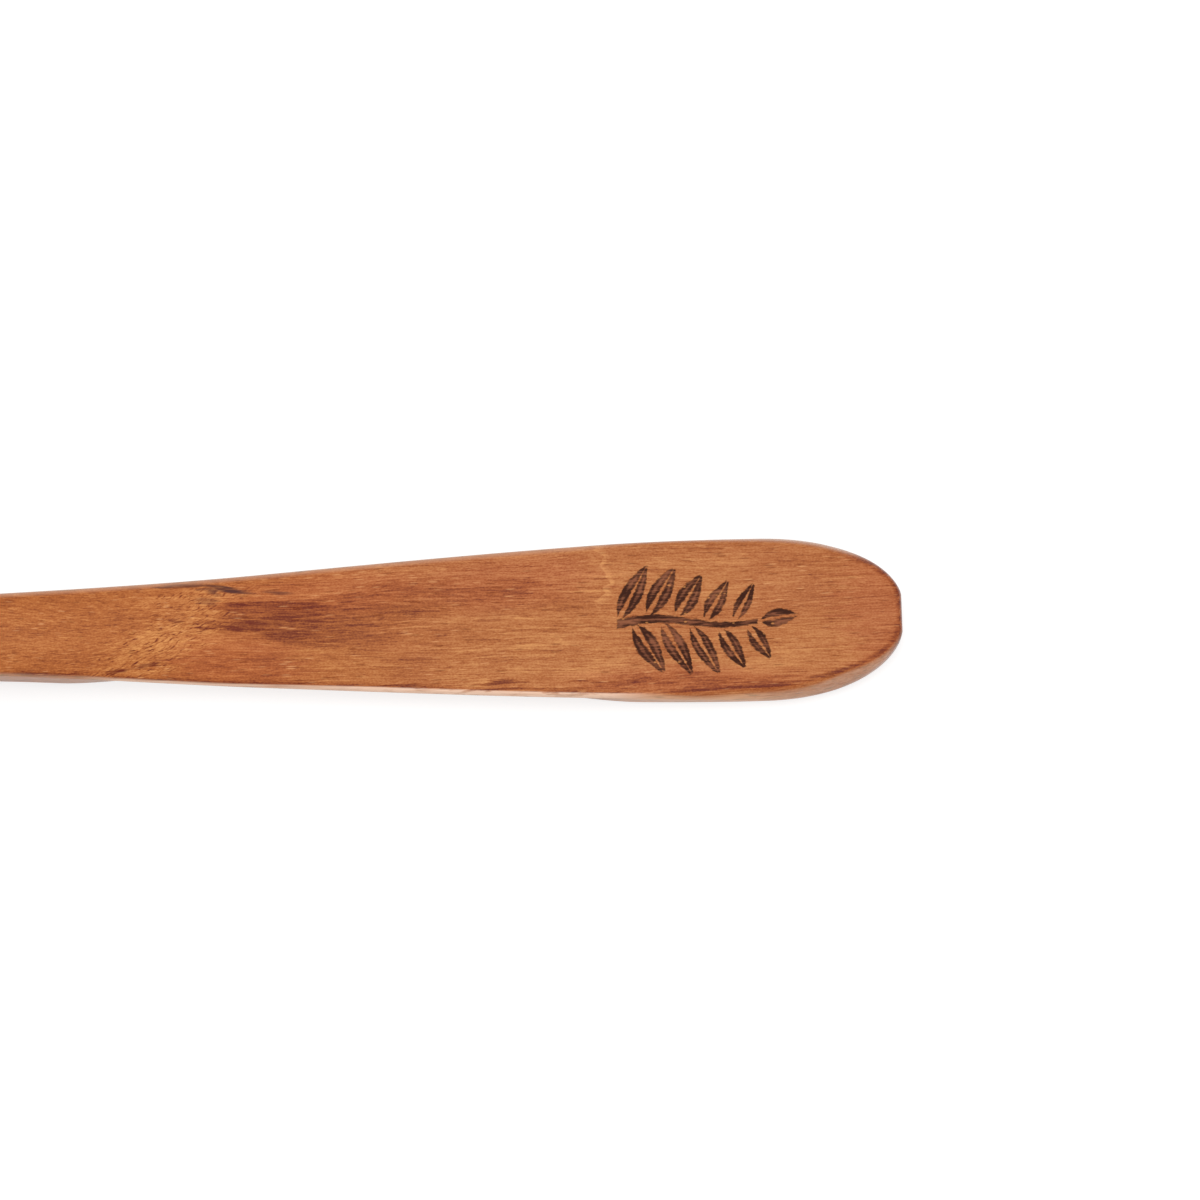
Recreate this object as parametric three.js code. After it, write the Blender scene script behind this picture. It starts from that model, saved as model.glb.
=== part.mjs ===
// An ice cream spoon carved from one piece of reddish brown hardwood.
// Millimetres, +Z up. +X runs from the bowl to the end of the handle. The origin is on the table plane,
// under the middle of the spoon, which lies on its belly and on the flat underside of its handle.
//
// The spoon is one closed surface on an outline seen from above. A side wall stands along the outline, and
// the top and the underside close it. Both have a round-over along their edge. The top has the hollow of the
// bowl, and the underside changes from a dish under the bowl to a flat bar under the handle. Distances along
// the spoon are measured from the tip of the bowl.

import * as THREE from "three";

// Outline, seen from above
const LENGTH = 165; // tip of the bowl to the end of the handle
const BOWL_WIDTH = 31;
const BOWL_WIDEST = 20; // from the tip to the widest part of the bowl
const FRONT_FULLNESS = 0.64; // 0.55 is an ellipse, and more is a blunter front
const SHOULDER_REACH = 19; // how far the bowl and its hollow run behind the widest part
const NECK_WIDTH = 9.1;
const NECK_AT = 53;
const NECK_SWEEP = 16; // length of the fillet between shoulder and neck
const NECK_HOLD = 19; // how far the shaft holds the neck's width before it widens
const PALM_WIDTH = 18.8; // the handle's widest part
const PALM_HOLD = 28.5; // how far in front of the palm its width holds
const PALM_ROUND = 16; // length of the rounded end behind the handle's widest part
const PALM_FULLNESS = 0.78;
const END_FLAT = 4; // width of the sanded flat at the very end
const END_FULLNESS = 0.2;

// Side view
const TIP_HEIGHT = 8.4; // table to the rim at the tip
const RIM_HEIGHT = 7.8; // table to the rim at the bowl's widest part
const RIM_WALL = 0.6; // upright band under the rim's round-over
const BELLY_AT = 21; // lowest point of the bowl
const NECK_LIFT = 2.6; // table to the underside of the neck
const NECK_THICKNESS = 6.2;
const HEEL_AT = 92; // where the handle's underside comes down to the table
const WAIST_THICKNESS = 5.2; // handle thickness at the heel
const PALM_THICKNESS = 4.6;

// Hollow of the bowl
const FLOOR_THICKNESS = 1.8; // wood left under the middle of the hollow
const RIM_WIDTH = 1.8;
const HOLLOW_SQUARENESS = 2.3; // 2 is an ellipse, and more is squarer
const HOLLOW_FLATNESS = 3.6; // 2 is a round floor, and more is a flatter one
const LIP_SOFTNESS = 0.06; // how gently the rim rolls over into the hollow

// Top edges. Their round-over is widest and deepest at the sides of the palm.
const RIM_ROUND = 0.8; // width and depth of the rim's round-over
const SHAFT_ROUND = 0.4;
const SHAFT_ROUND_DEPTH = 0.55;
const PALM_EDGE_ROUND = 1.25;
const PALM_EDGE_DEPTH = 2.6;
const PALM_EDGE_BACK = 8; // from the end of the handle back to where its edges are most rounded
const PALM_EDGE_RUN = 27; // length over which they grow to that
const END_ROUND = 0.4;
const END_ROUND_DEPTH = 0.9;
const RIM_ROUNDNESS = 2; // 2 is a true round, and less leaves an arris along the top face
const BAR_ROUNDNESS = 1.5;

// Underside and sides of the handle
const UNDER_ROUND = 2.2; // width of the round-over on the underside of the handle
const UNDER_ROUND_END = 0.7; // its width at the very end, less than the radius of the outline's corners
const UNDER_ROUND_HEIGHT = 1.6;
const UNDER_ROUNDNESS = 2;
const UNDERCUT = 1.1; // how far the side walls lean in under the shaft
const UNDERCUT_AFTER_NECK = 15; // from the neck to where the walls begin to lean
const UNDERCUT_BEFORE_PALM = 14; // from where they stand upright again to the palm
const UNDERCUT_GROWTH = 13; // length over which the lean grows
const UNDERCUT_FADE = 16; // length over which it fades
const PALM_CROWN = 0.35; // rise of the middle of the handle's top over its edges
const NECK_CROWN = 0.7;
const DISH_ENDS_AT = 34; // the dish under the bowl begins to turn into the bar of the handle

// Mesh
const FRONT_STATIONS = 20;
const SHOULDER_STATIONS = 26;
const TAPER_STATIONS = 30;
const END_STATIONS = 18;
const ROUND_RINGS = 4; // along each round-over
const TOP_COLUMNS = 8; // across the handle, between its round-overs
const UNDER_COLUMNS = 12;
const HOLLOW_RINGS = 12; // from the hollow's edge to its middle
const RING_CROWDING = 1.7; // 1 spaces the hollow's rings evenly, and more crowds them towards its edge
const OUTLINE_SAMPLES = 240; // for each outline curve, to measure its width

const PALM_AT = LENGTH - PALM_ROUND;
const PALM_EDGE_AT = LENGTH - PALM_EDGE_BACK;
const PALM_EDGE_FROM = PALM_EDGE_AT - PALM_EDGE_RUN;
const UNDERCUT_FROM = NECK_AT + UNDERCUT_AFTER_NECK;
const UNDERCUT_TO = PALM_AT - UNDERCUT_BEFORE_PALM;
const HOLLOW_DEPTH = RIM_HEIGHT - FLOOR_THICKNESS;
const HOLLOW_END = BOWL_WIDEST + SHOULDER_REACH;
const WOOD = { color: 0xb76c3e, roughness: 0.5, metalness: 0 };

const { clamp, lerp, mapLinear, smoothstep } = THREE.MathUtils;
const point = (s, y) => new THREE.Vector2(s, y);

// Half of the outline, on the +Y side: front of the bowl, shoulder, tapering shaft and rounded end.
const bowlHalf = BOWL_WIDTH / 2;
const neckHalf = NECK_WIDTH / 2;
const palmHalf = PALM_WIDTH / 2;
const endHalf = END_FLAT / 2;
const front = new THREE.CubicBezierCurve(
  point(0, 0),
  point(0, bowlHalf * FRONT_FULLNESS),
  point(BOWL_WIDEST * (1 - FRONT_FULLNESS), bowlHalf),
  point(BOWL_WIDEST, bowlHalf),
);
const shoulder = new THREE.CubicBezierCurve(
  point(BOWL_WIDEST, bowlHalf),
  point(HOLLOW_END, bowlHalf),
  point(NECK_AT - NECK_SWEEP, neckHalf),
  point(NECK_AT, neckHalf),
);
const taper = new THREE.CubicBezierCurve(
  point(NECK_AT, neckHalf),
  point(NECK_AT + NECK_HOLD, neckHalf),
  point(PALM_AT - PALM_HOLD, palmHalf),
  point(PALM_AT, palmHalf),
);
const end = new THREE.CubicBezierCurve(
  point(PALM_AT, palmHalf),
  point(PALM_AT + PALM_ROUND * PALM_FULLNESS, palmHalf),
  point(LENGTH, endHalf + (palmHalf - endHalf) * END_FULLNESS),
  point(LENGTH, endHalf),
);

// Places along that half, tip first, each with the direction that leads inwards at a right angle.
function stations() {
  const counts = [
    [front, FRONT_STATIONS],
    [shoulder, SHOULDER_STATIONS],
    [taper, TAPER_STATIONS],
    [end, END_STATIONS],
  ];
  const found = [{ s: 0, y: 0, inward: point(1, 0) }];
  for (const [curve, count] of counts) {
    for (let i = 1; i <= count; i++) {
      const at = curve.getPoint(i / count);
      const run = curve.getTangent(i / count);
      found.push({ s: at.x, y: at.y, inward: point(run.y, -run.x) });
    }
  }
  return found;
}

// The same half as short segments.
const edge = [front, shoulder, taper, end].flatMap((curve) => curve.getPoints(OUTLINE_SAMPLES));

// Half of the outline's width at a distance from the tip.
function halfWidthAt(s) {
  const i = Math.max(1, edge.findIndex((place) => place.x >= s));
  const a = edge[i - 1];
  const b = edge[i];
  return b.x > a.x ? mapLinear(s, a.x, b.x, a.y, b.y) : Math.max(a.y, b.y);
}

// A value that eases from each knot [distance, value] to the next, and is level at the knots.
function eased(...knots) {
  return (s) => {
    for (let i = 1; i < knots.length; i++) {
      const [s0, v0] = knots[i - 1];
      const [s1, v1] = knots[i];
      if (s <= s1) return lerp(v0, v1, smoothstep(s, s0, s1));
    }
    return knots.at(-1)[1];
  };
}

// Round-over: 0 at the edge, 1 from the given width inwards.
function roundOver(inset, width, roundness) {
  const out = 1 - clamp(inset / width, 0, 1);
  return (1 - out ** roundness) ** (1 / roundness);
}

// Lines of the side view
const barThickness = eased([NECK_AT, NECK_THICKNESS], [HEEL_AT, WAIST_THICKNESS], [PALM_AT, PALM_THICKNESS]);
const barUnderside = eased([BELLY_AT, 0], [NECK_AT, NECK_LIFT], [HEEL_AT, 0]);
const bowlTop = eased([0, TIP_HEIGHT], [BOWL_WIDEST, RIM_HEIGHT], [NECK_AT, NECK_LIFT + NECK_THICKNESS]);
const topLine = (s) => (s < NECK_AT ? bowlTop(s) : barUnderside(s) + barThickness(s));
const roundWidth = eased([BOWL_WIDEST, RIM_ROUND], [NECK_AT, SHAFT_ROUND], [PALM_EDGE_FROM, SHAFT_ROUND],
  [PALM_EDGE_AT, PALM_EDGE_ROUND], [LENGTH, END_ROUND]);
const roundDepth = eased([BOWL_WIDEST, RIM_ROUND], [NECK_AT, SHAFT_ROUND_DEPTH],
  [PALM_EDGE_FROM, SHAFT_ROUND_DEPTH], [PALM_EDGE_AT, PALM_EDGE_DEPTH], [LENGTH, END_ROUND_DEPTH]);
const underRound = eased([PALM_EDGE_AT, UNDER_ROUND], [LENGTH, UNDER_ROUND_END]);
const roundness = eased([BOWL_WIDEST, RIM_ROUNDNESS], [NECK_AT, BAR_ROUNDNESS]);
const crown = eased([BOWL_WIDEST, 0], [NECK_AT, NECK_CROWN], [PALM_AT, PALM_CROWN]);
const undercut = eased([UNDERCUT_FROM, 0], [UNDERCUT_FROM + UNDERCUT_GROWTH, UNDERCUT],
  [UNDERCUT_TO - UNDERCUT_FADE, UNDERCUT], [UNDERCUT_TO, 0]);
const barShare = eased([DISH_ENDS_AT, 0], [NECK_AT, 1]); // 0 is all dish, 1 is all bar

// The keel: an elliptical sweep from the tip down to the belly, then the bar's underside.
function keel(s) {
  if (s >= BELLY_AT) return barUnderside(s);
  const nose = TIP_HEIGHT - RIM_ROUND - RIM_WALL;
  const back = 1 - s / BELLY_AT;
  return nose * (1 - Math.sqrt(1 - back * back));
}

// Upper and lower edge of the side wall.
const wallTop = (s) => topLine(s) - roundDepth(s);
const wallFoot = (s) => lerp(wallTop(s) - RIM_WALL, keel(s) + UNDER_ROUND_HEIGHT, barShare(s));

// How far out a point of the plan lies in the hollow: 0 is its middle, 1 is its edge.
function reach(s, y) {
  const along = s < BOWL_WIDEST ? BOWL_WIDEST - RIM_WIDTH : SHOULDER_REACH;
  const across = bowlHalf - RIM_WIDTH;
  const sum =
    Math.abs((s - BOWL_WIDEST) / along) ** HOLLOW_SQUARENESS + Math.abs(y / across) ** HOLLOW_SQUARENESS;
  return sum ** (1 / HOLLOW_SQUARENESS);
}

// How deep the hollow is at a point of the plan.
function hollow(s, y) {
  const cut = 1 - Math.min(reach(s, y), 1) ** HOLLOW_FLATNESS;
  return (HOLLOW_DEPTH * cut * cut * (1 + LIP_SOFTNESS)) / (cut + LIP_SOFTNESS);
}

// Heights of the top and the underside. A point further inside the outline than the round-overs reach needs
// no inset.
function topHeight(s, y, inset = Infinity) {
  const across = Math.min(Math.abs(y) / halfWidthAt(s), 1);
  const round = roundDepth(s) * roundOver(inset, roundWidth(s), roundness(s));
  return wallTop(s) + round + crown(s) * (1 - across * across) - hollow(s, y);
}

function underHeight(s, y, inset = Infinity) {
  const across = Math.min(Math.abs(y) / halfWidthAt(s), 1);
  const dish = Math.sqrt(1 - across * across);
  const bar = roundOver(inset - undercut(s), underRound(s), UNDER_ROUNDNESS);
  return lerp(wallFoot(s), keel(s), lerp(dish, bar, barShare(s)));
}

// The mesh, as a growing list of corners and triangles.
const corners = [];
const triangles = [];

function corner(s, y, z) {
  corners.push(s - LENGTH / 2, y, z);
  return corners.length / 3 - 1;
}

const planOf = (index) => ({ s: corners[3 * index] + LENGTH / 2, y: corners[3 * index + 1] });

function triangle(a, b, c) {
  if (a !== b && b !== c && c !== a) triangles.push(a, b, c);
}

// Fills the strip between two rows of corners. It faces up if the rows run towards +Y and the second is
// nearer the end of the handle.
function strip(row, next) {
  for (let i = 1; i < row.length; i++) {
    triangle(row[i - 1], next[i], row[i]);
    triangle(row[i - 1], next[i - 1], next[i]);
  }
}

const closed = (ring) => [...ring, ring[0]];

// A ring of corners along the outline: tip, -Y side, end and +Y side.
function ringAlong(places, insetAt, heightAt) {
  const inner = places.map(({ s, y, inward }) => {
    const inset = insetAt(s);
    const moved = { s: s + inset * inward.x, y: y + inset * inward.y };
    return { ...moved, z: heightAt(moved.s, moved.y, inset) };
  });
  const lower = inner.map(({ s, y, z }) => corner(s, -y, z));
  const upper = inner.slice(1).map(({ s, y, z }) => corner(s, y, z));
  return [...lower, ...upper.reverse()];
}

// Rings over a round-over, crowded towards the edge, where it is steep.
function ringsOver(places, startAt, widthAt, heightAt) {
  const rings = [];
  for (let k = 1; k <= ROUND_RINGS; k++) {
    const share = 1 - Math.cos((k / ROUND_RINGS) * (Math.PI / 2));
    rings.push(ringAlong(places, (s) => startAt(s) + share * widthAt(s), heightAt));
  }
  return rings;
}

// The row of corners between the two sides of a ring at station k, from -Y to +Y. The first and the last row
// lie along the ring itself, so they only repeat its corners.
function rowAcross(ring, k, columns, heightAt) {
  const lower = ring[k];
  const upper = ring[(ring.length - k) % ring.length];
  const { s, y } = planOf(upper);
  const onRing = k === 0 || 2 * k === ring.length - 1;
  const row = [lower];
  for (let i = 1; i < columns; i++) {
    const across = y * Math.sin(mapLinear(i, 0, columns, -Math.PI / 2, Math.PI / 2));
    const nearer = across < 0 ? lower : upper;
    row.push(onRing ? nearer : corner(s, across, heightAt(s, across)));
  }
  return [...row, upper];
}

// Fills the top of the bowl inside a closed rim: across the rim to the hollow's edge, then down into it.
function fillBowl(rim) {
  const rings = [rim];
  for (let k = 0; k < HOLLOW_RINGS; k++) {
    const out = 1 - (k / HOLLOW_RINGS) ** RING_CROWDING;
    const ring = rim.map((index) => {
      const { s, y } = planOf(index);
      const share = out / reach(s, y);
      const inner = { s: lerp(BOWL_WIDEST, s, share), y: y * share };
      return corner(inner.s, inner.y, topHeight(inner.s, inner.y));
    });
    rings.push(ring);
  }
  const middle = corner(BOWL_WIDEST, 0, topHeight(BOWL_WIDEST, 0));
  rings.push(rim.map(() => middle));
  for (let k = 1; k < rings.length; k++) strip(closed(rings[k]), closed(rings[k - 1]));
}

function buildSpoon() {
  const places = stations();
  const lastStation = places.length - 1;

  // Side wall
  const top = ringAlong(places, () => 0, wallTop);
  const foot = ringAlong(places, undercut, wallFoot);
  strip(closed(top), closed(foot));

  // Top
  const topRings = [top, ...ringsOver(places, () => 0, roundWidth, topHeight)];
  for (let k = 1; k < topRings.length; k++) strip(closed(topRings[k]), closed(topRings[k - 1]));
  const inner = topRings.at(-1);
  const join = places.findIndex(({ s }) => s > HOLLOW_END + RIM_WIDTH);
  let row = rowAcross(inner, join, TOP_COLUMNS, topHeight);
  fillBowl([...inner.slice(0, join), ...row, ...inner.slice(inner.length - join + 1)]);
  for (let k = join + 1; k <= lastStation; k++) {
    const next = rowAcross(inner, k, TOP_COLUMNS, topHeight);
    strip(row, next);
    row = next;
  }

  // Underside
  const underRings = [foot, ...ringsOver(places, undercut, underRound, underHeight)];
  for (let k = 1; k < underRings.length; k++) strip(closed(underRings[k - 1]), closed(underRings[k]));
  let under = rowAcross(underRings.at(-1), 0, UNDER_COLUMNS, underHeight);
  for (let k = 1; k <= lastStation; k++) {
    const next = rowAcross(underRings.at(-1), k, UNDER_COLUMNS, underHeight);
    strip(next, under);
    under = next;
  }

  const geometry = new THREE.BufferGeometry();
  geometry.setAttribute("position", new THREE.Float32BufferAttribute(corners, 3));
  geometry.setIndex(triangles);
  geometry.computeVertexNormals();
  return geometry;
}

const spoon = new THREE.Mesh(buildSpoon(), new THREE.MeshStandardMaterial(WOOD));
spoon.name = "spoon";

const part = new THREE.Group();
part.add(spoon);

export default part;
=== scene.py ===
"""The looks of an ice cream spoon carved from one piece of reddish brown hardwood.

A finer surface with the same sizes as the solid replaces it, and carries a wood material whose grain runs
through the spoon along X. A leafy sprig is burned into the palm of the handle. The spoon lies on a pale
floor under soft light. Sizes are millimetres, turned into metres where a mesh, a lamp or the camera is
made. The spoon's bowl lies towards -X, and the lower edge in the camera's view is the one towards -Y.
"""

import math

import bpy
import numpy as np
from mathutils import Matrix, Vector


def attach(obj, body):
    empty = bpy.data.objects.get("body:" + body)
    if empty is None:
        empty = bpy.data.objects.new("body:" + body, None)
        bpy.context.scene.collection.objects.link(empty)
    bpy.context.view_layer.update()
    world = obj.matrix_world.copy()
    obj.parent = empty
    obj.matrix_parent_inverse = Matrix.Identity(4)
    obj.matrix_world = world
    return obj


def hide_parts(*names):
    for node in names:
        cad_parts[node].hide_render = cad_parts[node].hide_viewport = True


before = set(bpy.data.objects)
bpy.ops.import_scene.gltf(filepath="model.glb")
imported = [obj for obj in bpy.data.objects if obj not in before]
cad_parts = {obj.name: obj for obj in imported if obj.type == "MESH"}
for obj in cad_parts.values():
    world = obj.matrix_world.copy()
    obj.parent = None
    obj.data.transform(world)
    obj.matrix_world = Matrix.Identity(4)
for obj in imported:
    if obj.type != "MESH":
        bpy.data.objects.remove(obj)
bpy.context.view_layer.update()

MM = 0.001

# Outline of the spoon, seen from above. Distances along it start at the tip of the bowl.
LENGTH = 165
BOWL_WIDTH = 31
BOWL_WIDEST = 20
FRONT_FULLNESS = 0.64
SHOULDER_REACH = 19
NECK_WIDTH = 9.1
NECK_AT = 53
NECK_SWEEP = 16
NECK_HOLD = 19
PALM_WIDTH = 18.8
PALM_HOLD = 28.5
PALM_ROUND = 16
PALM_FULLNESS = 0.78
END_FLAT = 4
END_FULLNESS = 0.2

# Side view of the spoon
TIP_HEIGHT = 8.4
RIM_HEIGHT = 7.8
RIM_WALL = 0.6
BELLY_AT = 21
NECK_LIFT = 2.6
NECK_THICKNESS = 6.2
HEEL_AT = 92
WAIST_THICKNESS = 5.2
PALM_THICKNESS = 4.6

# Hollow of the bowl
FLOOR_THICKNESS = 1.8
RIM_WIDTH = 1.8
HOLLOW_SQUARENESS = 2.3
HOLLOW_FLATNESS = 3.6
LIP_SOFTNESS = 0.06

# Top edges
RIM_ROUND = 0.8
SHAFT_ROUND = 0.4
SHAFT_ROUND_DEPTH = 0.55
PALM_EDGE_ROUND = 1.25
PALM_EDGE_DEPTH = 2.6
PALM_EDGE_BACK = 8
PALM_EDGE_RUN = 27
END_ROUND = 0.4
END_ROUND_DEPTH = 0.9
RIM_ROUNDNESS = 2
BAR_ROUNDNESS = 1.5

# Underside and sides of the handle
UNDER_ROUND = 2.2
UNDER_ROUND_END = 0.7
UNDER_ROUND_HEIGHT = 1.6
UNDER_ROUNDNESS = 2
UNDERCUT = 1.1
UNDERCUT_AFTER_NECK = 15
UNDERCUT_BEFORE_PALM = 14
UNDERCUT_GROWTH = 13
UNDERCUT_FADE = 16
PALM_CROWN = 0.35
NECK_CROWN = 0.7
DISH_ENDS_AT = 34

PALM_AT = LENGTH - PALM_ROUND
PALM_EDGE_AT = LENGTH - PALM_EDGE_BACK
PALM_EDGE_FROM = PALM_EDGE_AT - PALM_EDGE_RUN
UNDERCUT_FROM = NECK_AT + UNDERCUT_AFTER_NECK
UNDERCUT_TO = PALM_AT - UNDERCUT_BEFORE_PALM
HOLLOW_DEPTH = RIM_HEIGHT - FLOOR_THICKNESS
HOLLOW_END = BOWL_WIDEST + SHOULDER_REACH

# Mesh of the visible surface
FRONT_STATIONS = 56
SHOULDER_STATIONS = 70
TAPER_STATIONS = 190
END_STATIONS = 64
ROUND_RINGS = 7
WALL_ROWS = 4
TOP_COLUMNS = 36
UNDER_COLUMNS = 28
HOLLOW_RINGS = 36
RING_CROWDING = 1.5

bowl_half = BOWL_WIDTH / 2
neck_half = NECK_WIDTH / 2
palm_half = PALM_WIDTH / 2
end_half = END_FLAT / 2

# Corner points of the four curves of the outline's +Y half
OUTLINE = (
    (FRONT_STATIONS, (0, 0), (0, bowl_half * FRONT_FULLNESS),
     (BOWL_WIDEST * (1 - FRONT_FULLNESS), bowl_half), (BOWL_WIDEST, bowl_half)),
    (SHOULDER_STATIONS, (BOWL_WIDEST, bowl_half), (HOLLOW_END, bowl_half),
     (NECK_AT - NECK_SWEEP, neck_half), (NECK_AT, neck_half)),
    (TAPER_STATIONS, (NECK_AT, neck_half), (NECK_AT + NECK_HOLD, neck_half),
     (PALM_AT - PALM_HOLD, palm_half), (PALM_AT, palm_half)),
    (END_STATIONS, (PALM_AT, palm_half), (PALM_AT + PALM_ROUND * PALM_FULLNESS, palm_half),
     (LENGTH, end_half + (palm_half - end_half) * END_FULLNESS), (LENGTH, end_half)),
)


def outline():
    """Places along the outline's +Y half, tip first, and the direction inwards at each."""
    places = [np.zeros((1, 2))]
    inwards = [np.array([[1.0, 0.0]])]
    for count, *corners in OUTLINE:
        a, b, c, d = np.array(corners, float)
        t = np.arange(1, count + 1)[:, None] / count
        places.append(a * (1 - t) ** 3 + 3 * b * t * (1 - t) ** 2 + 3 * c * t**2 * (1 - t) + d * t**3)
        run = (b - a) * (1 - t) ** 2 + 2 * (c - b) * t * (1 - t) + (d - c) * t**2
        run /= np.linalg.norm(run, axis=1, keepdims=True)
        inwards.append(np.stack([run[:, 1], -run[:, 0]], axis=1))
    return np.concatenate(places), np.concatenate(inwards)


edge, inward = outline()


def half_width(s):
    """Half of the outline's width at a distance from the tip."""
    return np.interp(s, edge[:, 0], edge[:, 1])


def eased(*knots):
    """A value that eases from each knot (distance, value) to the next, and is level at the knots."""
    places, values = np.array(knots, float).T

    def value(s):
        k = np.clip(np.searchsorted(places, s) - 1, 0, len(knots) - 2)
        t = np.clip((s - places[k]) / (places[k + 1] - places[k]), 0, 1)
        return values[k] + (values[k + 1] - values[k]) * t * t * (3 - 2 * t)

    return value


def mix(a, b, share):
    return a + (b - a) * share


def round_over(inset, width, roundness):
    """0 at the edge, 1 from the given width inwards."""
    out = 1 - np.clip(inset / width, 0, 1)
    return (1 - out**roundness) ** (1 / roundness)


bar_thickness = eased((NECK_AT, NECK_THICKNESS), (HEEL_AT, WAIST_THICKNESS), (PALM_AT, PALM_THICKNESS))
bar_underside = eased((BELLY_AT, 0), (NECK_AT, NECK_LIFT), (HEEL_AT, 0))
bowl_top = eased((0, TIP_HEIGHT), (BOWL_WIDEST, RIM_HEIGHT), (NECK_AT, NECK_LIFT + NECK_THICKNESS))
round_width = eased((BOWL_WIDEST, RIM_ROUND), (NECK_AT, SHAFT_ROUND), (PALM_EDGE_FROM, SHAFT_ROUND),
                    (PALM_EDGE_AT, PALM_EDGE_ROUND), (LENGTH, END_ROUND))
round_depth = eased((BOWL_WIDEST, RIM_ROUND), (NECK_AT, SHAFT_ROUND_DEPTH),
                    (PALM_EDGE_FROM, SHAFT_ROUND_DEPTH), (PALM_EDGE_AT, PALM_EDGE_DEPTH),
                    (LENGTH, END_ROUND_DEPTH))
under_round = eased((PALM_EDGE_AT, UNDER_ROUND), (LENGTH, UNDER_ROUND_END))
roundness = eased((BOWL_WIDEST, RIM_ROUNDNESS), (NECK_AT, BAR_ROUNDNESS))
crown = eased((BOWL_WIDEST, 0), (NECK_AT, NECK_CROWN), (PALM_AT, PALM_CROWN))
undercut = eased((UNDERCUT_FROM, 0), (UNDERCUT_FROM + UNDERCUT_GROWTH, UNDERCUT),
                 (UNDERCUT_TO - UNDERCUT_FADE, UNDERCUT), (UNDERCUT_TO, 0))
bar_share = eased((DISH_ENDS_AT, 0), (NECK_AT, 1))


def top_line(s):
    return np.where(s < NECK_AT, bowl_top(s), bar_underside(s) + bar_thickness(s))


def keel(s):
    """Lowest line: an elliptical sweep from the tip down to the belly, then the bar's underside."""
    nose = TIP_HEIGHT - RIM_ROUND - RIM_WALL
    back = 1 - np.clip(s / BELLY_AT, 0, 1)
    return np.where(s < BELLY_AT, nose * (1 - np.sqrt(1 - back**2)), bar_underside(s))


def wall_top(s):
    return top_line(s) - round_depth(s)


def wall_foot(s):
    return mix(wall_top(s) - RIM_WALL, keel(s) + UNDER_ROUND_HEIGHT, bar_share(s))


def reach(s, y):
    """How far out a place lies in the hollow: 0 is its middle, 1 is its edge."""
    along = np.where(s < BOWL_WIDEST, BOWL_WIDEST - RIM_WIDTH, SHOULDER_REACH)
    across = bowl_half - RIM_WIDTH
    parts = np.abs((s - BOWL_WIDEST) / along) ** HOLLOW_SQUARENESS + np.abs(y / across) ** HOLLOW_SQUARENESS
    return parts ** (1 / HOLLOW_SQUARENESS)


def hollow(s, y):
    cut = 1 - np.minimum(reach(s, y), 1) ** HOLLOW_FLATNESS
    return HOLLOW_DEPTH * cut * cut * (1 + LIP_SOFTNESS) / (cut + LIP_SOFTNESS)


def across_share(s, y):
    return np.clip(np.abs(y) / np.maximum(half_width(s), 1e-6), 0, 1)


def top_height(s, y, inset):
    round_part = round_depth(s) * round_over(inset, round_width(s), roundness(s))
    return wall_top(s) + round_part + crown(s) * (1 - across_share(s, y) ** 2) - hollow(s, y)


def under_height(s, y, inset):
    dish = np.sqrt(1 - across_share(s, y) ** 2)
    bar = round_over(inset - undercut(s), under_round(s), UNDER_ROUNDNESS)
    return mix(wall_foot(s), keel(s), mix(dish, bar, bar_share(s)))


class Surface:
    """A growing list of corners and faces."""

    def __init__(self):
        self.corners = []
        self.faces = []
        self.count = 0

    def add(self, s, y, z):
        s, y, z = np.broadcast_arrays(s, y, z)
        self.corners.append(np.stack([s - LENGTH / 2, y, z], axis=-1).reshape(-1, 3))
        first = self.count
        self.count += s.size
        return np.arange(first, self.count)

    def strip(self, row, after):
        """Faces between two rows. They face up if the rows run to +Y and the second is nearer the end."""
        for a, b, c, d in zip(row[:-1], after[:-1], after[1:], row[1:]):
            corners = list(dict.fromkeys((int(a), int(b), int(c), int(d))))
            if len(corners) > 2:
                self.faces.append(corners)


def closed(ring):
    return np.append(ring, ring[0])


def ring_along(surface, inset, height):
    """A ring of corners along the outline: tip, -Y side, end and +Y side."""
    s = edge[:, 0] + inset * inward[:, 0]
    y = edge[:, 1] + inset * inward[:, 1]
    z = height(s, y, inset)
    lower = surface.add(s, -y, z)
    upper = surface.add(s[1:], y[1:], z[1:])
    return np.append(lower, upper[::-1])


def rings_over(surface, start, width, height):
    """Rings over a round-over, crowded towards the edge, where it is steep."""
    rings = []
    for k in range(1, ROUND_RINGS + 1):
        share = 1 - math.cos(k / ROUND_RINGS * math.pi / 2)
        rings.append(ring_along(surface, start + share * width, height))
    return rings


def row_across(surface, ring, plan, k, columns, height):
    """Corners between the two sides of a ring. The first and last rows only repeat the ring's corners."""
    lower = ring[k]
    upper = ring[(len(ring) - k) % len(ring)]
    s, y = plan[k]
    turn = np.linspace(-math.pi / 2, math.pi / 2, columns + 1)[1:-1]
    across = y * np.sin(turn)
    if k == 0 or 2 * k == len(ring) - 1:
        between = np.where(across < 0, lower, upper)
    else:
        between = surface.add(s, across, height(s, across, LENGTH))
    return np.concatenate([[lower], between, [upper]])


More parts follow.
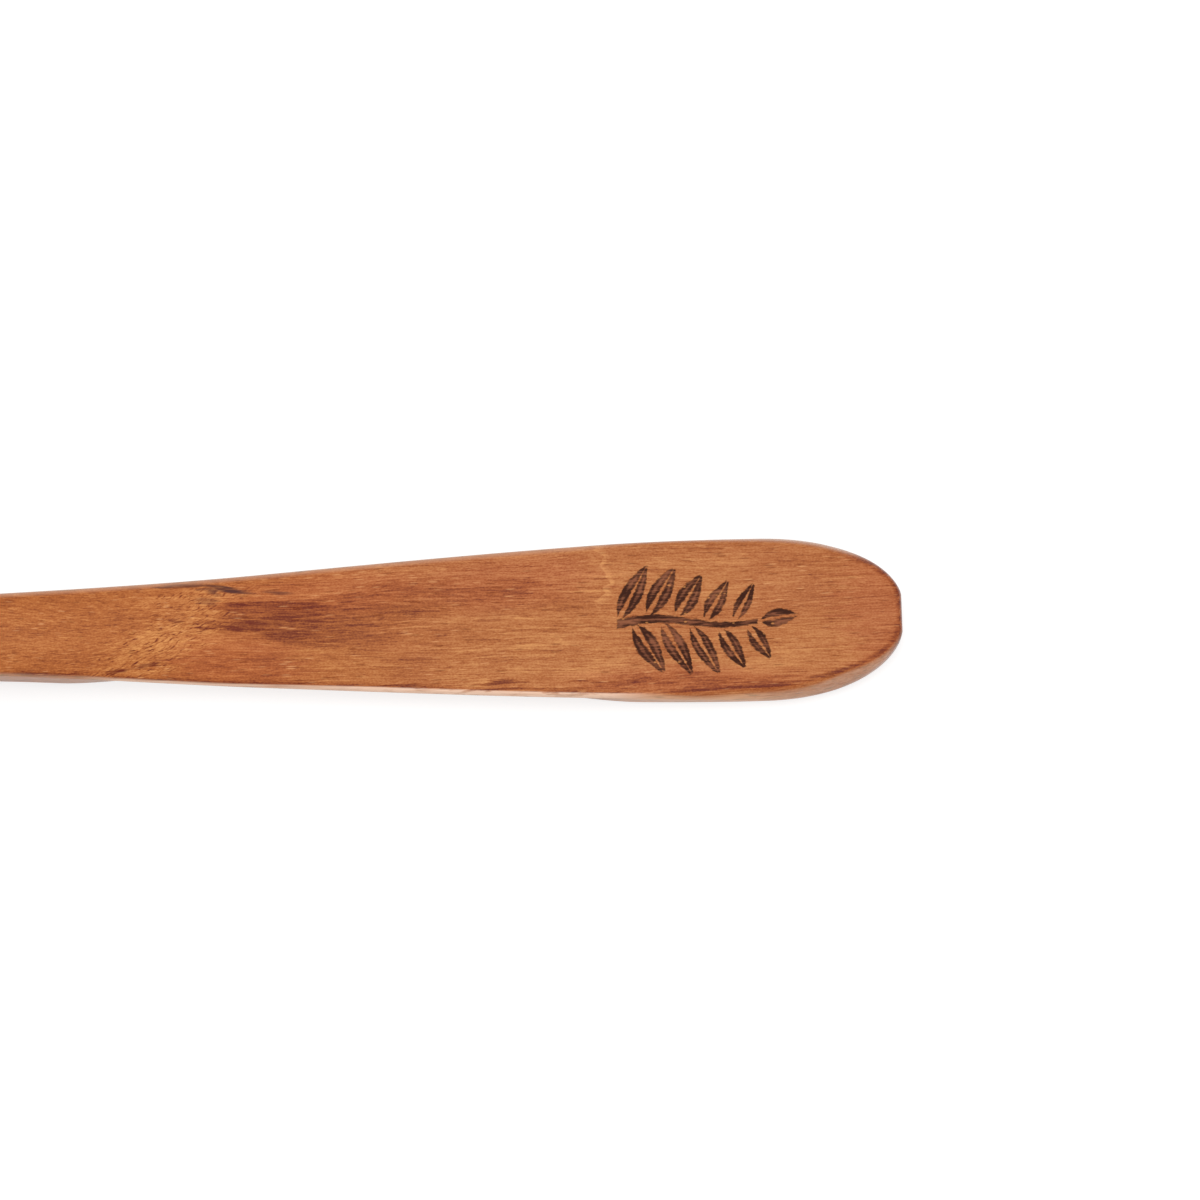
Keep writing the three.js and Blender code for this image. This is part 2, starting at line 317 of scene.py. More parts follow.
def build_spoon():
    surface = Surface()
    along = edge[:, 0]
    lean = undercut(along)

    # Side wall
    wall = []
    for k in range(WALL_ROWS + 1):
        share = k / WALL_ROWS
        wall.append(ring_along(surface, share * lean,
                               lambda s, y, inset: mix(wall_top(s), wall_foot(s), share)))
    for above, below in zip(wall[:-1], wall[1:]):
        surface.strip(closed(above), closed(below))

    # Top
    rings = [wall[0]] + rings_over(surface, 0, round_width(along), top_height)
    for outer, inner in zip(rings[:-1], rings[1:]):
        surface.strip(closed(inner), closed(outer))
    ring = rings[-1]
    plan = edge + round_width(along)[:, None] * inward
    join = int(np.argmax(along > HOLLOW_END + RIM_WIDTH))
    row = row_across(surface, ring, plan, join, TOP_COLUMNS, top_height)
    rim = np.concatenate([ring[:join], row, ring[len(ring) - join + 1:]])
    fill_bowl(surface, rim)
    for k in range(join + 1, len(edge)):
        after = row_across(surface, ring, plan, k, TOP_COLUMNS, top_height)
        surface.strip(row, after)
        row = after

    # Underside
    rings = [wall[-1]] + rings_over(surface, lean, under_round(along), under_height)
    for outer, inner in zip(rings[:-1], rings[1:]):
        surface.strip(closed(outer), closed(inner))
    ring = rings[-1]
    plan = edge + (lean + under_round(along))[:, None] * inward
    row = row_across(surface, ring, plan, 0, UNDER_COLUMNS, under_height)
    for k in range(1, len(edge)):
        after = row_across(surface, ring, plan, k, UNDER_COLUMNS, under_height)
        surface.strip(after, row)
        row = after
    return surface


def fill_bowl(surface, rim):
    """Fills the top of the bowl inside a rim: across the rim to the hollow's edge, then down into it."""
    corners = np.concatenate(surface.corners)[rim]
    s = corners[:, 0] + LENGTH / 2
    y = corners[:, 1]
    rings = [rim]
    for k in range(HOLLOW_RINGS):
        share = (1 - (k / HOLLOW_RINGS) ** RING_CROWDING) / reach(s, y)
        inner_s = mix(BOWL_WIDEST, s, share)
        inner_y = y * share
        rings.append(surface.add(inner_s, inner_y, top_height(inner_s, inner_y, LENGTH)))
    middle = surface.add(BOWL_WIDEST, 0, top_height(BOWL_WIDEST, 0.0, LENGTH))
    rings.append(np.full(len(rim), middle[0]))
    for outer, inner in zip(rings[:-1], rings[1:]):
        surface.strip(closed(inner), closed(outer))


def inside_arris(corners):
    """How far each corner lies inside the round-over of the top edge, seen from above.

    The whole side wall counts as the round-over's outer edge.
    """
    s = corners[:, 0] + LENGTH / 2
    places = np.stack([s, np.abs(corners[:, 1])], axis=1)
    ends = np.vstack([edge, [LENGTH, 0]])
    starts, runs = ends[:-1], np.diff(ends, axis=0)
    least = np.full(len(places), np.inf)
    for start, run in zip(starts, runs):
        share = np.clip((places - start) @ run / (run @ run), 0, 1)
        off = places - start - share[:, None] * run
        least = np.minimum(least, np.hypot(off[:, 0], off[:, 1]))
    lean = np.where(corners[:, 2] < wall_top(s), undercut(s), 0)
    return np.maximum(least - lean, 0) - round_width(s)


def spoon_object():
    surface = build_spoon()
    corners = np.concatenate(surface.corners)
    mesh = bpy.data.meshes.new("spoon_wood")
    mesh.from_pydata((corners * MM).tolist(), [], surface.faces)
    mesh.validate()
    mesh.attributes.new("inside_arris", "FLOAT", "POINT").data.foreach_set("value", inside_arris(corners))
    mesh.polygons.foreach_set("use_smooth", [True] * len(mesh.polygons))
    mesh.update()
    made = bpy.data.objects.new("spoon_wood", mesh)
    bpy.context.collection.objects.link(made)
    return made


SHIFT_SLANT = 1.7  # how far a pattern's shift moves it along Y, for 1 along X


class Graph:
    """Adds nodes to a material or world. An input is a number, vector, colour or another node's output."""

    def __init__(self, owner):
        owner.use_nodes = True
        self.owner = owner
        self.tree = owner.node_tree
        self.tree.nodes.clear()

    def add(self, kind, inputs, **settings):
        made = self.tree.nodes.new(kind)
        for name, value in settings.items():
            setattr(made, name, value)
        for key, value in inputs.items():
            if isinstance(value, bpy.types.NodeSocket):
                self.tree.links.new(value, made.inputs[key])
            else:
                made.inputs[key].default_value = value
        return made

    def maths(self, operation, a, b=0.0, c=0.0):
        return self.add("ShaderNodeMath", {0: a, 1: b, 2: c}, operation=operation).outputs[0]

    def vector(self, operation, a, b=(0, 0, 0)):
        return self.add("ShaderNodeVectorMath", {0: a, 1: b}, operation=operation).outputs[0]

    def stretched(self, place, along, across, shift):
        """Places for a pattern that is drawn out along the grain, in units of its own size."""
        scaled = self.vector("MULTIPLY", place, (1 / along, 1 / across, 1 / across))
        return self.vector("ADD", scaled, (shift, SHIFT_SLANT * shift, -shift))

    def noise(self, place, pattern):
        """Noise about zero, of a pattern such as BEND."""
        along, across, shift, detail, rough = pattern
        where = self.stretched(place, along, across, shift)
        inputs = {"Vector": where, "Scale": 1.0, "Detail": detail, "Roughness": rough}
        made = self.add("ShaderNodeTexNoise", inputs)
        return self.maths("SUBTRACT", made.outputs[0], 0.5)

    def ramp(self, value, start, end, low=0.0, high=1.0):
        """Eases from low at the start to high at the end."""
        inputs = {"Value": value, "From Min": start, "From Max": end, "To Min": low, "To Max": high}
        return self.add("ShaderNodeMapRange", inputs, interpolation_type="SMOOTHSTEP").outputs[0]

    def blend(self, a, b, factor, mode="MIX"):
        """Turns colour a into b, or multiplies it by b, as far as the factor says."""
        inputs = {0: factor, 6: a, 7: b}
        return self.add("ShaderNodeMix", inputs, data_type="RGBA", blend_type=mode).outputs[2]

    def times(self, first, *others):
        """Product of values."""
        result = first
        for other in others:
            result = self.maths("MULTIPLY", result, other)
        return result

    def total(self, weights, *values):
        """Sum of values, each times its weight."""
        result = 0.0
        for weight, value in zip(weights, values):
            result = self.maths("MULTIPLY_ADD", value, weight, result)
        return result


def colour(red, green, blue):
    """A colour given as 0 to 255 on screen."""
    linear = []
    for part in (red, green, blue):
        c = part / 255
        linear.append(c / 12.92 if c <= 0.04045 else ((c + 0.055) / 1.055) ** 2.4)
    return (*linear, 1.0)


LIP_INSIDE = RIM_WIDTH - RIM_ROUND  # how far inside the arris the lip of the hollow lies

# Wood colours
DARK = colour(110, 37, 12)
MID = colour(184, 104, 48)
LIGHT = colour(230, 155, 88)
PURPLE = colour(84, 42, 36)  # stains along the upper edge
PALE_AND_SHEEN = colour(218, 178, 152)  # dry, rubbed wood along the edges, and painted sheen of the white surroundings there
CREAM = colour(254, 216, 190)  # bare wood along the lower arris of the waist
RAW_AND_SHEEN = colour(255, 196, 148)  # lighter wood low on the side of the palm, and painted sheen there
FLECK = colour(234, 168, 112)
BLOOM = colour(160, 125, 110)  # a greyish veil that grows towards the palm
OLIVE = colour(140, 116, 90)  # blots on the rubbed edges
CHAR = colour(60, 28, 16)
BURN = colour(136, 82, 60)
GOLDEN = (1.04, 1.1, 1.06, 1.0)  # what the golden and the red zones multiply the colour by
REDDER = (0.96, 0.83, 0.84, 1.0)

# Noise: length along the grain and width across it in mm, a shift that sets it apart, detail, roughness
BEND = (34, 9, 0, 1, 0.5)
WAVE = (6, 2.2, 7, 2, 0.5)
RAGGED = (5, 0.4, 3, 2, 0.5)
BROAD = (60, 3.4, 1, 2, 0.5)
STREAK = (12, 0.7, 2, 2, 0.6)
FIBRE = (4.5, 0.24, 4, 2, 0.5)
SHORT_FIBRE = (1.0, 0.13, 5, 1, 0.5)
MOTTLE = (5, 4, 6, 1, 0.5)
GRIT = (0.25, 0.15, 8, 1, 0.5)
HAIR = (6.0, 0.17, 51, 1, 0.5)
THREAD = (3.2, 0.26, 71, 1, 0.5)
RISING_PORES = (1.2, 0.16, 19, 2, 0.65)
DARK_LINES = (6, 0.3, 12, 2, 0.6)
TURN_WANDER = (9, 1.5, 27, 2, 0.5)
FLECK_CROWDING = (12, 3, 61, 1, 0.5)
BLOT = (2.2, 0.5, 17, 2, 0.5)
BURN_EDGE = (0.7, 0.35, 9, 2, 0.5)
BURN_LINES = (1.8, 0.2, 13, 2, 0.6)
BURN_BLOTCH = (3.2, 2.6, 15, 1, 0.5)

# Dashes: length, width and shift of their cells, as for noise, and the share of the cells that hold one
LIGHT_FIBRES = (2.2, 0.22, 41, 0.5)
DARK_FIBRES = (2.0, 0.22, 43, 0.5)
PORES = (3.2, 0.34, 11, 0.4)
FLECKS = (2.8, 0.3, 23, 0.5)
BURN_SPECKS = (0.9, 0.5, 31, 0.12)
DASH_EDGE = (0.28, 0.10)  # distances from a cell's middle where a dash ends and where it is full
CHANCE_EDGE = 0.02

# How far the noise moves the grain and the edges of patches
SWAY = 2.6
SWAY_UNEVEN = 0.25
SWAY_DEEP = 0.6  # along Z, as a share of the sway along Y
FRAY = 12
NICKS = (0.35, 0.4, 0)  # share of the fraying that small stains get, by axis
CURLINESS = 1.7

# Changes along X: from and to in mm, and the values there, 0 and 1 if none are given
MEAN_TONE = (0.0, 35.0, 0.475, 0.51)
WAIST_CONTRAST = (5.0, 35.0, 0.9, 1.05)
PALM_CONTRAST = (52.0, 64.0, 1.0, 0.86)
BLOOM_ALONG = (0.0, 35.0, 0.04, 0.12)
OIL_ALONG = (10.0, 28.0, 0.22, 0.36)
LOW_SHIFT = (0.0, 26.0, 0.16, -0.12)
CORNER_ALONG = (76.5, 79.5)
BUTT_ALONG = (80.5, 82.0)
LIP_ALONG = (-38.0, -46.0)
PALM_HIGH_ALONG = (44.0, 62.0)
PALM_LOW_FROM = (53.0, 60.0)
PALM_LOW_TO = (77.0, 70.0)
# where the low side of the palm turns lighter: lighter wood and painted sheen
RAW_AND_SHEEN_FROM = (45.0, 53.0)
RAW_AND_SHEEN_TO = (73.0, 63.0)
CREAM_FROM = (-13.0, -7.0)
CREAM_TO = (56.0, 47.0)
SOILED_ALONG = (12.0, 34.0, 0.0, 0.55)

# Changes along Y
LOW_SIDE = (0.0, -3.0)
HIGH_SIDE = (0.0, 3.0)
CORNER_SIDE = (-2.0, 2.0)
TURN_SIDE = (0.6, 2.6)

# Changes with the distance inside the arris, in mm
OIL_INNER = (0.6, 0.15)
OIL_OUTER = (-0.25, 0.0)
END_OIL = (0.5, 0.0)
# band along the edges that turns pale: rubbed wood, and painted sheen
RUBBED_AND_SHEEN = (0.05, -0.4)
# where a painted highlight lies along the +Y top edge
PAINTED_EDGE_HIGHLIGHT = (0.4, -0.3)
# pale band at the lip of the hollow: rubbed wood and a painted highlight
LIP_WEAR_AND_HIGHLIGHT = (0.5, 0.0)
CREAM_LINE = (0.1, -0.15)
PALM_HIGH_SHIFT = 0.65
PALM_LOW_SHIFT = 0.4

# Changes with how far the surface faces up
ON_TOP = (-0.05, 0.15)
# how pale the edges turn by how far they face up: dry wood, and painted sheen
DRY_AND_SHEEN = (0.05, 0.35, 0.32, 0.5)
DRY_AND_SHEEN_HIGH = (0.05, 0.35, 0.0, 0.18)
CREAM_UPWARD = (0.0, 0.25)

# Changes with noise or tone
LIGHT_HAIRS = (0.07, 0.2, 0.0, 0.18)
DARK_HAIRS = (-0.07, -0.2, 0.0, -0.18)
CRACKS = (-0.04, -0.2, 0.1, -0.36)
STREAK_DEPTH = (0.12, -0.14, 0.24, 0.52)
OIL_DEPTH = (0.15, -0.15, -0.5, -1.2)
BLOOM_BY_TONE = (0.3, 0.7, 0.35, 1.4)
CROWDED = (-0.05, 0.12, 0.25, 0.6)
STAIN_BY_FIBRE = (-0.1, 0.12, 1.0, 0.6)
BLOTS = (0.02, 0.16)
CREAM_BY_RAGGED = (-0.2, 0.05, 0.7, 1.0)
CREAM_BY_STREAK = (-0.25, 0.1, 0.55, 0.95)

# Places in the wood: middle and half sizes in mm, tilt in degrees, and a strength where there is one
CURL = ((-2.6, -1.4, 5.5), (8.0, 2.6, 5.0), 29)
CURLS = (
    (CURL, 1.0),
    (((2.0, 3.4, 5.5), (6.0, 1.6, 5.0), 12), 0.8),
)
SHIMMER = ((42.0, 0.5, 4.8), (10.5, 4.2, 3.0), 0)
GOLD_ZONES = (
    (((41.0, -2.5, 4.8), (13.0, 5.5, 6.0), 4), 0.7),
    (((55.0, 3.5, 4.6), (9.0, 4.0, 4.0), 4), 0.7),
    (((69.0, -4.0, 4.6), (10.0, 3.8, 4.0), 4), 0.7),
    (((19.0, -4.2, 5.0), (6.5, 2.0, 4.0), -6), 0.7),
    (CURL, 0.6),
)
RED_ZONES = (
    (((6.5, -3.6, 5.2), (7.5, 2.8, 4.0), -4), 0.85),
    (((17.5, 4.0, 5.0), (12.0, 2.4, 4.0), 3), 0.85),
    (((37.0, 4.6, 4.8), (10.0, 3.0, 4.0), 3), 0.85),
    (((80.0, 0.5, 4.6), (4.5, 7.0, 4.0), 0), 0.85),
    (((58.0, -7.2, 4.4), (13.0, 1.5, 3.0), -1), 0.85),
)
STREAKS = (
    (((7.4, 0.5, 5.0), (5.8, 0.7, 3.5), -2), 1.2),
    (((12.8, 1.0, 5.0), (3.8, 2.2, 3.5), -4), 0.92),
    (((11.6, 2.7, 5.0), (5.4, 0.55, 3.5), -3), 1.0),
    (((8.2, 1.5, 5.0), (4.8, 1.5, 3.5), -6), 0.5),
    (((13.5, -1.0, 5.0), (5.6, 0.9, 3.5), -8), 0.7),
    (((19.0, -0.3, 5.0), (5.5, 1.5, 3.5), -4), 0.5),
    (((24.5, 2.8, 5.0), (9.5, 2.2, 4.0), 4), 0.55),
    (((33.0, 4.0, 4.8), (10.0, 1.4, 4.0), 2), 0.5),
    (((58.0, -7.3, 4.4), (10.5, 1.0, 3.0), -1), 0.5),
    (((37.0, -6.9, 4.4), (1.8, 0.25, 2.0), 0), 0.9),
    (((45.2, -7.1, 4.4), (1.2, 0.2, 2.0), 0), 0.6),
)
PURPLE_PATCHES = (
    (((4.8, 4.85, 5.3), (2.9, 0.36, 1.5), -9), 1.1),
    (((3.1, 4.7, 5.3), (1.0, 0.6, 1.5), -24), 0.85),
    (((2.9, 3.4, 5.4), (1.3, 0.4, 1.5), -16), 0.5),
    (((0.0, 5.3, 5.7), (2.8, 0.26, 1.5), 3), 0.75),
    (((11.0, 4.3, 5.2), (1.5, 0.28, 1.5), -3), 0.6),
)
DARK_PATCHES = (
    (((-7.3, -4.5, 6.6), (1.2, 0.24, 1.5), 6), 1.1),
    (((-4.2, -3.9, 6.0), (1.4, 0.28, 1.5), 14), 1.0),
    (((-0.6, 1.2, 5.8), (0.7, 0.3, 1.5), 0), 0.8),
)
PATCH_SOFTNESS = 0.45
PORE_RISE = 24  # degrees by which the lines of pores rise in the figured patch
STREAK_RISE = -5
TURN_AT = 47.6  # where a light line crosses the +Y half
TURN_REACH = 9.0  # how far it wanders
TURN_RISE = (-0.25, 0.0)  # its two edges, in mm past the line
TURN_FALL = (1.3, 0.0)
BUTT_UNEVEN = 2.0

# Weights in sums, in the order of what is added. The last of some is a constant.
TONE_WEIGHTS = (0.4, 0.32, 0.42, 0.5, 0.6, 0.25)
FINE_WEIGHTS = (1.0, 0.15, -0.15, 1.0, 1.0)
UNEVEN_WEIGHTS = (1.0, 1.4, 1.0)
HEIGHT_WEIGHTS = (0.02, -0.03, -0.1, 0.01)  # mm
ROUGH_WEIGHTS = (0.12, 0.25, 0.1, 0.5)
CHAR_WEIGHTS = (0.5, 2.2, 1.9, 0.3)

# Strengths
SHIMMER_STRENGTH = 0.45
TURN_STRENGTH = 0.26
GOLD_LIFT = 0.05
PORE_STRENGTH = 0.4
END_OIL_STRENGTH = 0.32
# of the painted highlight along the +Y top edge
PAINTED_HIGHLIGHT_STRENGTH = 0.5
# of the pale lip band: rubbed wood and a painted highlight
LIP_WEAR_AND_HIGHLIGHT_STRENGTH = 0.2
# of the lighter low side of the palm: lighter wood and painted sheen
RAW_AND_SHEEN_STRENGTH = 0.4
BLOT_STRENGTH = 0.45
BURN_STRENGTH = 0.85


def patch(graph, place, middle, size, tilt):
    """1 inside a soft-edged ellipsoid, 0 outside."""
    inputs = {"Vector": place, "Location": middle, "Rotation": (0, 0, math.radians(tilt)), "Scale": size}
    local = graph.add("ShaderNodeMapping", inputs, vector_type="TEXTURE").outputs[0]
    far = graph.add("ShaderNodeVectorMath", {0: local}, operation="LENGTH").outputs[1]
    return graph.ramp(far, 1 + PATCH_SOFTNESS, 1 - PATCH_SOFTNESS)


def patches(graph, place, spots):
    """The strongest of several patches at each place."""
    result = 0.0
    for spot, strength in spots:
        here = graph.times(patch(graph, place, *spot), strength)
        result = graph.maths("MAXIMUM", here, result)
    return result


def turned(graph, place, degrees):
    """Places for a pattern that is drawn out along X, turned so that it rises towards +X by an angle."""
    inputs = {"Vector": place, "Rotation": (0, 0, math.radians(-degrees))}
    return graph.add("ShaderNodeMapping", inputs, vector_type="POINT").outputs[0]


def dashes(graph, place, along, across, shift, share):
    """Short dashes along the grain. The share is the part of the cells that hold one."""
    inputs = {"Vector": graph.stretched(place, along, across, shift), "Scale": 1.0}
    cells = graph.add("ShaderNodeTexVoronoi", inputs)
    dash = graph.ramp(cells.outputs["Distance"], *DASH_EDGE)
    chance = graph.add("ShaderNodeSeparateColor", {0: cells.outputs["Color"]}).outputs[0]
    return graph.times(dash, graph.ramp(chance, share + CHANCE_EDGE, share - CHANCE_EDGE))


class Wood(Graph):
    """The wood's graph, with the places, patterns and masks that several of its features share."""

    def __init__(self, name):
        super().__init__(bpy.data.materials.new(name))
        coordinates = self.add("ShaderNodeTexCoord", {})
        self.place = self.vector("MULTIPLY", coordinates.outputs["Object"], (1 / MM, 1 / MM, 1 / MM))
        parts = self.add("ShaderNodeSeparateXYZ", {0: self.place})
        self.along = parts.outputs[0]
        self.side = parts.outputs[1]

        # Places for grain that wanders and for patches with frayed edges
        wave = self.noise(self.place, WAVE)
        self.ragged = self.noise(self.place, RAGGED)
        sway = self.total((SWAY, SWAY_UNEVEN), self.noise(self.place, BEND), wave)
        shift = self.add("ShaderNodeCombineXYZ", {1: sway, 2: self.times(sway, SWAY_DEEP)})
        self.grain = self.vector("ADD", self.place, shift.outputs[0])
        fray = self.add("ShaderNodeCombineXYZ", {0: self.times(self.ragged, FRAY), 1: wave}).outputs[0]
        self.frayed = self.vector("ADD", self.place, fray)
        self.nicked = self.vector("ADD", self.place, self.vector("MULTIPLY", fray, NICKS))
        curl = self.add("ShaderNodeCombineXYZ", {1: self.times(wave, CURLINESS)}).outputs[0]
        self.curly = self.vector("ADD", self.place, curl)

        # Patterns
        self.streak = self.noise(self.grain, STREAK)
        self.fibre = self.noise(self.grain, FIBRE)
        self.short = self.noise(self.grain, SHORT_FIBRE)
        self.mottle = self.noise(self.place, MOTTLE)
        self.pores = dashes(self, self.grain, *PORES)

        # Masks
        facing = self.add("ShaderNodeNewGeometry", {}).outputs["Normal"]
        self.upward = self.add("ShaderNodeSeparateXYZ", {0: facing}).outputs[2]
        self.on_top = self.ramp(self.upward, *ON_TOP)
        self.low_side = self.ramp(self.side, *LOW_SIDE)
        self.high_side = self.ramp(self.side, *HIGH_SIDE)
        self.inside = self.add("ShaderNodeAttribute", {}, attribute_name="inside_arris").outputs["Fac"]
        self.inside_low = self.maths("ADD", self.ramp(self.along, *LOW_SHIFT), self.inside)
        corner = self.times(self.ramp(self.side, *CORNER_SIDE), self.ramp(self.along, *CORNER_ALONG))
        butt = self.ramp(self.maths("MULTIPLY_ADD", self.mottle, BUTT_UNEVEN, self.along), *BUTT_ALONG)
        self.dark_end = self.maths("MAXIMUM", corner, butt)


def plain_tone(wood):
    """Tone of the plain wood: 0 is dark, 1 is light."""
    broad = wood.noise(wood.grain, BROAD)
    grit = wood.noise(wood.place, GRIT)
    tone = wood.total(TONE_WEIGHTS, broad, wood.streak, wood.fibre, wood.short, grit, wood.mottle)
    light_fibres = dashes(wood, wood.grain, *LIGHT_FIBRES)
    dark_fibres = dashes(wood, wood.grain, *DARK_FIBRES)
    hairs = wood.noise(wood.grain, HAIR)
    tone = wood.total(FINE_WEIGHTS, tone, light_fibres, dark_fibres,
                      wood.ramp(hairs, *LIGHT_HAIRS), wood.ramp(hairs, *DARK_HAIRS))
    contrast = wood.times(wood.ramp(wood.along, *WAIST_CONTRAST), wood.ramp(wood.along, *PALM_CONTRAST))
    tone = wood.maths("MULTIPLY_ADD", tone, contrast, wood.ramp(wood.along, *MEAN_TONE))

    # Fine lines that shimmer before the palm
    threads = wood.noise(wood.grain, THREAD)
    shimmer = wood.times(patch(wood, wood.frayed, *SHIMMER), SHIMMER_STRENGTH)
    return wood.maths("MULTIPLY_ADD", threads, shimmer, tone)


def figured_tone(wood, tone):
    """The tone with its figured patch, dark streaks, dark oil and light wavy line."""
    # Figured patch, where lines of dark pores rise across the grain
    rising = wood.noise(turned(wood, wood.curly, PORE_RISE), RISING_PORES)
    figure = wood.maths("ADD", rising, wood.ramp(rising, *CRACKS))
    tone = wood.maths("MULTIPLY_ADD", figure, patches(wood, wood.frayed, CURLS), tone)

    # Dark streaks of fine lines that slope down towards the end
    lines = wood.noise(turned(wood, wood.grain, STREAK_RISE), DARK_LINES)
    darker = wood.times(wood.ramp(lines, *STREAK_DEPTH), -1.0)
    tone = wood.maths("MULTIPLY_ADD", patches(wood, wood.frayed, STREAKS), darker, tone)

    # Dark oil left just inside the arris of the -Y side and round the butt
    arris = wood.times(wood.ramp(wood.inside_low, *OIL_INNER), wood.ramp(wood.inside_low, *OIL_OUTER))
    band = wood.times(arris, wood.low_side, wood.on_top, wood.ramp(wood.along, *OIL_ALONG))
    at_end = wood.times(wood.ramp(wood.inside, *END_OIL), wood.dark_end, END_OIL_STRENGTH)
    oil = wood.maths("MAXIMUM", band, at_end)
    tone = wood.maths("MULTIPLY_ADD", oil, wood.ramp(wood.streak, *OIL_DEPTH), tone)

    # Light, wavy line where the grain turns before the palm
    turn_at = wood.maths("MULTIPLY_ADD", wood.noise(wood.place, TURN_WANDER), TURN_REACH, TURN_AT)
    past_turn = wood.maths("SUBTRACT", wood.along, turn_at)
    turn_line = wood.times(wood.ramp(past_turn, *TURN_RISE), wood.ramp(past_turn, *TURN_FALL),
                           wood.ramp(wood.side, *TURN_SIDE), wood.on_top)
    return wood.maths("MULTIPLY_ADD", turn_line, TURN_STRENGTH, tone)


def wood_colour(wood, tone):
    """Colour for a tone, with golden and red zones, a greyish bloom, pores, light flecks and stains."""
    gold = patches(wood, wood.frayed, GOLD_ZONES)
    red = patches(wood, wood.frayed, RED_ZONES)
    tone = wood.maths("MULTIPLY_ADD", gold, GOLD_LIFT, tone)
    shades = wood.add("ShaderNodeValToRGB", {0: tone})
    ramp = shades.color_ramp
    ramp.elements[0].color = DARK
    ramp.elements[1].color = LIGHT
    ramp.elements.new(0.5).color = MID
    tint = wood.blend(shades.outputs[0], GOLDEN, gold, "MULTIPLY")
    tint = wood.blend(tint, REDDER, red, "MULTIPLY")
    bloom = wood.times(wood.ramp(wood.along, *BLOOM_ALONG), wood.ramp(tone, *BLOOM_BY_TONE))
    tint = wood.blend(tint, BLOOM, bloom)

    tint = wood.blend(tint, DARK, wood.times(wood.pores, PORE_STRENGTH))
    crowded = wood.ramp(wood.noise(wood.place, FLECK_CROWDING), *CROWDED)
    tint = wood.blend(tint, FLECK, wood.times(dashes(wood, wood.grain, *FLECKS), crowded))
    uneven = wood.ramp(wood.fibre, *STAIN_BY_FIBRE)
    tint = wood.blend(tint, DARK, wood.times(patches(wood, wood.nicked, DARK_PATCHES), uneven))
    return wood.blend(tint, PURPLE, wood.times(patches(wood, wood.nicked, PURPLE_PATCHES), uneven))


def edged_colour(wood, tint):
    """Colour with worn, dry edges with painted sheen and highlights, blots, and cream on the waist's -Y
    arris.
    """
    # The rubbed part, with its painted sheen, lies further out along the palm
    palm_high = wood.times(wood.ramp(wood.along, *PALM_HIGH_ALONG), wood.high_side)
    palm_low = wood.times(wood.ramp(wood.along, *PALM_LOW_FROM), wood.ramp(wood.along, *PALM_LOW_TO),
                          wood.low_side)
    inside = wood.total((1.0, PALM_HIGH_SHIFT, PALM_LOW_SHIFT), wood.inside, palm_high, palm_low)
    uneven = wood.total(UNEVEN_WEIGHTS, wood.streak, wood.fibre, 1.0)
    # the edge band, pale from rubbed wood and from painted sheen
    rubbed_and_sheen = wood.times(wood.ramp(inside, *RUBBED_AND_SHEEN), uneven)
    # a painted highlight: a pale rim along the +Y top edge, where grazing sheen would be
    painted_edge_highlight = wood.times(wood.ramp(inside, *PAINTED_EDGE_HIGHLIGHT), wood.high_side, PAINTED_HIGHLIGHT_STRENGTH)
    # a pale band along the lip of the hollow: rubbed wood, and a painted highlight that makes the lip stand
    # out
    from_lip = wood.maths("ABSOLUTE", wood.maths("SUBTRACT", wood.inside, LIP_INSIDE))
    lip_wear_and_highlight = wood.times(wood.ramp(from_lip, *LIP_WEAR_AND_HIGHLIGHT), wood.ramp(wood.along, *LIP_ALONG), wood.on_top,
                     LIP_WEAR_AND_HIGHLIGHT_STRENGTH)
    # paler where the edges face up, more on the +Y side: dry wood, and painted sheen
    drier_and_sheen = wood.times(wood.high_side, wood.ramp(wood.upward, *DRY_AND_SHEEN_HIGH))
    dry_and_sheen_share = wood.maths("ADD", wood.ramp(wood.upward, *DRY_AND_SHEEN), drier_and_sheen)
    # the pale colour goes on the rubbed edges with their painted sheen, on a painted highlight along the +Y
    # edge and on the lip
    pale_and_sheen_share = wood.maths("MAXIMUM", wood.maths("MAXIMUM", wood.times(rubbed_and_sheen, dry_and_sheen_share), painted_edge_highlight), lip_wear_and_highlight)
    tint = wood.blend(tint, PALE_AND_SHEEN, wood.times(pale_and_sheen_share, wood.maths("SUBTRACT", 1.0, wood.dark_end)))

    # lighter low side of the palm's edge: lighter wood, and painted sheen of the white surroundings
    raw_and_sheen = wood.times(wood.ramp(wood.along, *RAW_AND_SHEEN_FROM), wood.ramp(wood.along, *RAW_AND_SHEEN_TO), wood.low_side)
    tint = wood.blend(tint, RAW_AND_SHEEN, wood.times(raw_and_sheen, rubbed_and_sheen, RAW_AND_SHEEN_STRENGTH))
    blots = wood.ramp(wood.noise(wood.place, BLOT), *BLOTS)
    tint = wood.blend(tint, OLIVE, wood.times(rubbed_and_sheen, blots, BLOT_STRENGTH))

    waist = wood.times(wood.ramp(wood.along, *CREAM_FROM), wood.ramp(wood.along, *CREAM_TO))
    cream = wood.times(wood.ramp(wood.inside_low, *CREAM_LINE), wood.low_side, waist)
    soiled = wood.times(blots, wood.ramp(wood.along, *SOILED_ALONG))
    cream = wood.times(cream, wood.maths("SUBTRACT", 1.0, soiled), wood.ramp(wood.upward, *CREAM_UPWARD),
                       wood.ramp(wood.ragged, *CREAM_BY_RAGGED), wood.ramp(wood.streak, *CREAM_BY_STREAK))
    return wood.blend(tint, CREAM, cream)


